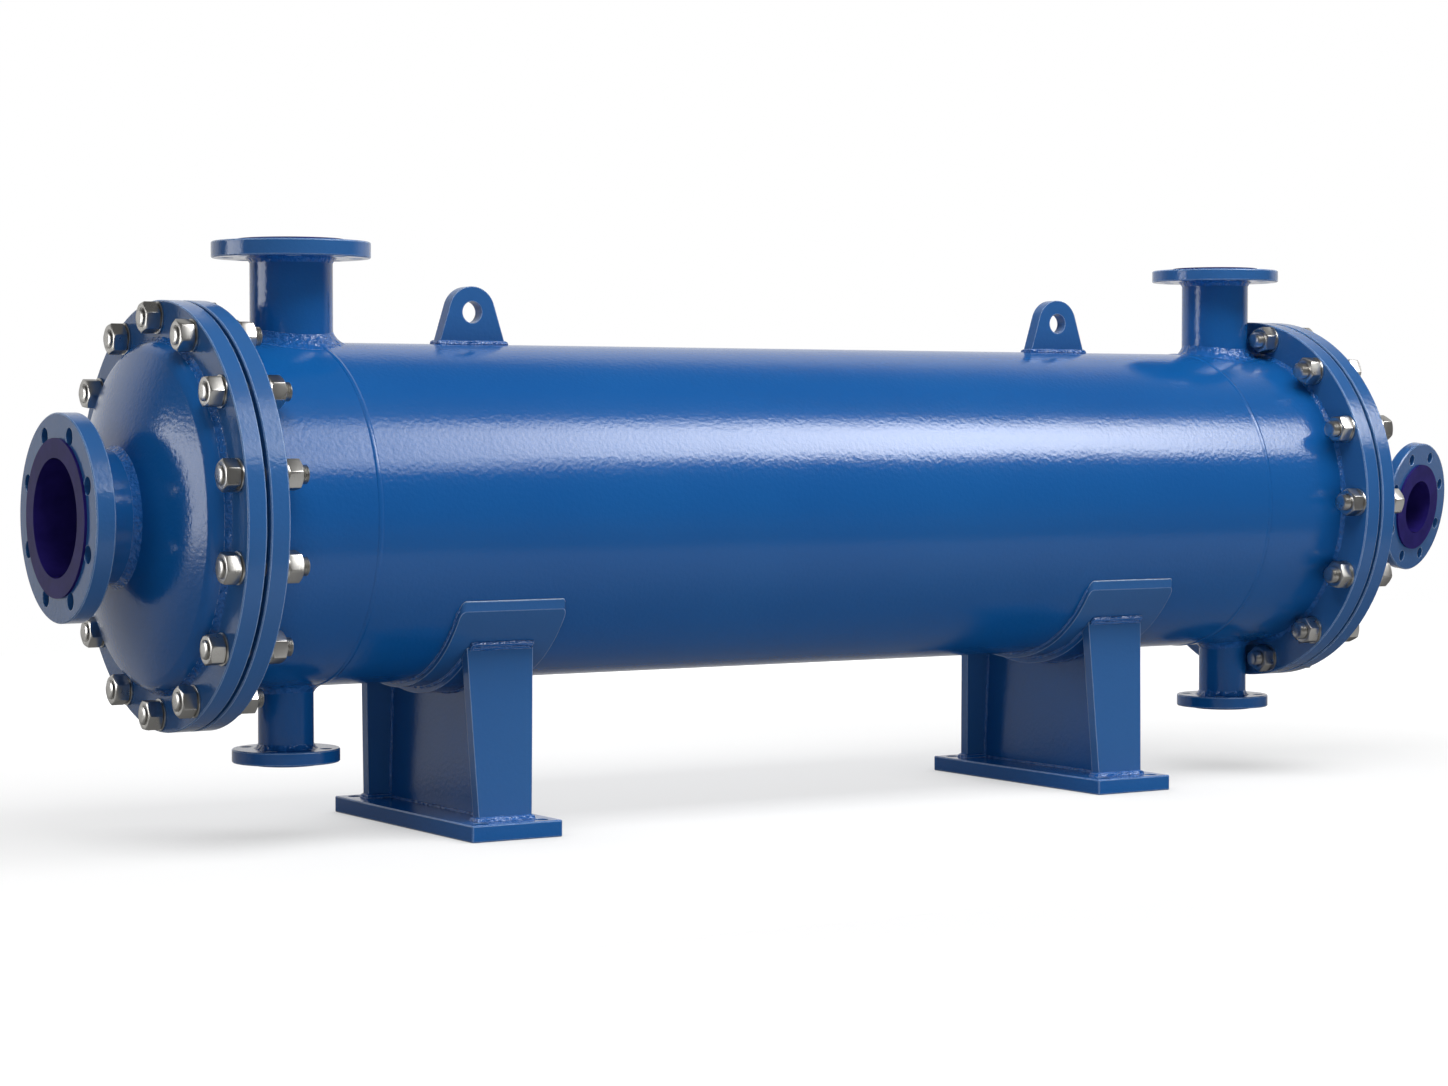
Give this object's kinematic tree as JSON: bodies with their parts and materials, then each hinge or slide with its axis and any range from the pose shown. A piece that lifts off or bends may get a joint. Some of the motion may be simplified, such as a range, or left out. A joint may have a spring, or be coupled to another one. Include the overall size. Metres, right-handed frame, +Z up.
{
  "type": "glass-lined condenser",
  "caption": "Horizontal glass-lined condenser: a blue steel shell with dished heads bolted on, lined flanged nozzles, lifting lugs and plate saddles.",
  "frame": {"origin": "centre of the underside of the fixed saddle's base plate", "axes": "+X along the vessel from the fixed saddle to the sliding saddle, +Y away from the front, +Z up"},
  "size_m": [2.6254, 0.6239, 0.88],
  "materials": {
    "blue_enamel": "glossy blue enamel paint with a slight orange peel",
    "glass_lining": "glossy dark indigo glass lining",
    "glassed_steel": "steel under glossy dark indigo glass",
    "gasket_rubber": "matt black",
    "stainless_fasteners": "bright turned stainless steel"
  },
  "bodies": {
    "root": {"fixed_saddle_base_plate": "blue_enamel", "fixed_saddle_cradle": "blue_enamel", "fixed_saddle_end_plates": "blue_enamel", "fixed_saddle_wear_plate": "blue_enamel", "fixed_saddle_web": "blue_enamel", "left_cover_flange": "blue_enamel", "left_dished_head": "blue_enamel", "left_drain_nozzle_flange": "blue_enamel", "left_drain_nozzle_lining": "glass_lining", "left_drain_nozzle_neck": "blue_enamel", "left_end_nozzle_flange": "blue_enamel", "left_end_nozzle_lining": "glass_lining", "left_end_nozzle_neck": "blue_enamel", "left_gasket": "gasket_rubber", "left_head_lining": "glass_lining", "left_lifting_lug": "blue_enamel", "left_shell_course": "blue_enamel", "left_shell_flange": "blue_enamel", "outlet_nozzle_elbow": "blue_enamel", "outlet_nozzle_flange": "blue_enamel", "outlet_nozzle_lining": "glass_lining", "right_cover_flange": "blue_enamel", "right_dished_head": "blue_enamel", "right_drain_nozzle_flange": "blue_enamel", "right_drain_nozzle_lining": "glass_lining", "right_drain_nozzle_neck": "blue_enamel", "right_gasket": "gasket_rubber", "right_head_lining": "glass_lining", "right_lifting_lug": "blue_enamel", "right_shell_course": "blue_enamel", "right_shell_flange": "blue_enamel", "shell_barrel": "blue_enamel", "shell_lining": "glass_lining", "sliding_saddle_base_plate": "blue_enamel", "sliding_saddle_cradle": "blue_enamel", "sliding_saddle_end_plates": "blue_enamel", "sliding_saddle_wear_plate": "blue_enamel", "sliding_saddle_web": "blue_enamel", "top_inlet_nozzle_flange": "blue_enamel", "top_inlet_nozzle_lining": "glass_lining", "top_inlet_nozzle_neck": "blue_enamel", "top_vent_nozzle_flange": "blue_enamel", "top_vent_nozzle_lining": "glass_lining", "top_vent_nozzle_neck": "blue_enamel", "tube_bundle": "glassed_steel"}
  },
  "joints": []
}
